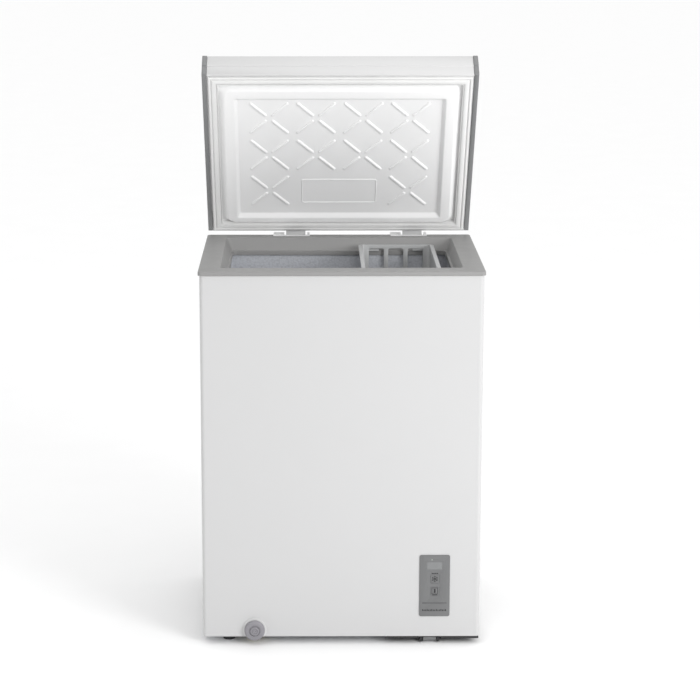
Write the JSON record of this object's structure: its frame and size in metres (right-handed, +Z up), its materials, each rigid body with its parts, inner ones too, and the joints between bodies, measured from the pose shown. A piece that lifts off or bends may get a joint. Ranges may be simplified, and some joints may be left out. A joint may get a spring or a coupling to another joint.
{
  "type": "chest freezer",
  "caption": "Small upright-box chest freezer with a hinged foamed lid standing open, grey collar, sliding basket, drain and electronic control panel.",
  "frame": {"origin": "centre of the footprint with the lid open, on the floor", "axes": "+X to the right seen from the front, +Y to the back, +Z up; the front faces -Y"},
  "size_m": [0.567, 0.5328, 1.1688],
  "materials": {
    "white_painted_steel": "smooth gloss white enamel",
    "galvanised_steel": "zinc-coated sheet",
    "black_painted_steel": "satin black paint",
    "foam": "rigid polyurethane foam",
    "embossed_aluminium": "stucco-embossed sheet",
    "grey_plastic": "moulded plastic with a fine grain",
    "panel_plastic": "satin overlay",
    "window_plastic": "tinted clear plastic",
    "rail_plastic": "moulded white plastic",
    "led": "clear lens",
    "circuit_board": "solder mask",
    "white_plastic": "moulded white plastic",
    "black_plastic": "moulded black plastic",
    "black_rubber": "moulded rubber",
    "grey_rubber": "moulded rubber",
    "knob_plastic": "moulded grey plastic",
    "copper_tube": "drawn copper",
    "steel_hardware": "plated steel",
    "cast_iron": "machined casting",
    "trim_grey": "satin grey profile",
    "gasket_pvc": "soft extruded seal",
    "basket_plastic": "moulded grey plastic"
  },
  "bodies": {
    "cabinet": {"outer_wrapper": "white_painted_steel", "back_panel": "white_painted_steel", "bottom_panel": "galvanised_steel", "insulation_foam": "foam", "inner_liner": "embossed_aluminium", "top_collar": "grey_plastic", "base_pan": "black_painted_steel", "control_bezel": "panel_plastic", "display_window": "window_plastic", "status_led": "led", "display_board": "circuit_board", "control_board_box": "white_plastic", "main_control_board": "circuit_board", "drain_escutcheon": "white_plastic", "drain_pipe": "white_plastic", "compressor_shell": "black_painted_steel", "compressor_pump": "cast_iron", "compressor_grommets": "black_rubber", "compressor_bolts": "steel_hardware", "start_relay_cover": "black_plastic", "filter_drier": "copper_tube", "discharge_tube": "copper_tube", "suction_tube": "copper_tube", "capillary_tube": "copper_tube", "evaporator_coil": "copper_tube", "condenser_coil": "steel_hardware", "rear_grille": "black_painted_steel", "side_vent": "white_plastic", "cabinet_screws": "steel_hardware", "cord_inlet_gland": "black_rubber", "thermistor": "black_plastic", "hinge_bracket_left": "galvanised_steel", "hinge_bracket_right": "galvanised_steel", "hinge_pins": "steel_hardware", "hinge_springs": "steel_hardware", "hinge_cover_left": "white_plastic", "hinge_cover_right": "white_plastic", "roller_brackets": "black_painted_steel", "roller_axles": "steel_hardware", "foot_sockets": "white_plastic"},
    "lid": {"lid_top_skin": "white_painted_steel", "lid_front_rail": "rail_plastic", "lid_side_trim_left": "trim_grey", "lid_side_trim_right": "trim_grey", "lid_foam": "foam", "lid_inner_panel": "white_plastic", "lid_gasket": "gasket_pvc", "hinge_arm_left": "white_painted_steel", "hinge_arm_right": "white_painted_steel", "lid_screws": "steel_hardware"},
    "basket": {"basket": "basket_plastic"},
    "drain_cap": {"drain_cap": "knob_plastic"},
    "drain_plug": {"drain_plug": "grey_rubber"},
    "button_upper": {"button_upper": "panel_plastic"},
    "button_lower": {"button_lower": "panel_plastic"},
    "roller_front": {"roller_front": "trim_grey"},
    "roller_rear": {"roller_rear": "trim_grey"},
    "foot_front": {"foot_front": "black_plastic"},
    "foot_rear": {"foot_rear": "black_plastic"}
  },
  "joints": [
    {"name": "lid_hinge", "type": "hinge", "parent": "cabinet", "child": "lid", "pos_m": [0, 0.19962, 0.7445], "axis": [-1, 0, 0], "range_deg": [-57, 18]},
    {"name": "basket_slide", "type": "slide", "parent": "cabinet", "child": "basket", "axis": [-1, 0, 0], "range_m": [-0.024, 0.262]},
    {"name": "drain_cap_pull", "type": "slide", "parent": "cabinet", "child": "drain_cap", "axis": [0, -1, 0], "range_m": [0, 0.02]},
    {"name": "drain_plug_lift", "type": "slide", "parent": "cabinet", "child": "drain_plug", "axis": [0, 0, 1], "range_m": [0, 0.03]},
    {"name": "button_upper_press", "type": "slide", "parent": "cabinet", "child": "button_upper", "axis": [0, 1, 0], "range_m": [0, 0.0008], "stiffness_N_per_m": 900},
    {"name": "button_lower_press", "type": "slide", "parent": "cabinet", "child": "button_lower", "axis": [0, 1, 0], "range_m": [0, 0.0008], "stiffness_N_per_m": 900},
    {"name": "roller_front_spin", "type": "hinge", "parent": "cabinet", "child": "roller_front", "pos_m": [0.18, -0.23438, 0.011], "axis": [1, 0, 0], "continuous": true},
    {"name": "roller_rear_spin", "type": "hinge", "parent": "cabinet", "child": "roller_rear", "pos_m": [0.18, 0.16162, 0.011], "axis": [1, 0, 0], "continuous": true},
    {"name": "foot_front_turn", "type": "hinge", "parent": "cabinet", "child": "foot_front", "pos_m": [-0.229, -0.21438, 0.011], "axis": [0, 0, 1], "continuous": true},
    {"name": "foot_rear_turn", "type": "hinge", "parent": "cabinet", "child": "foot_rear", "pos_m": [-0.229, 0.14562, 0.011], "axis": [0, 0, 1], "continuous": true}
  ]
}
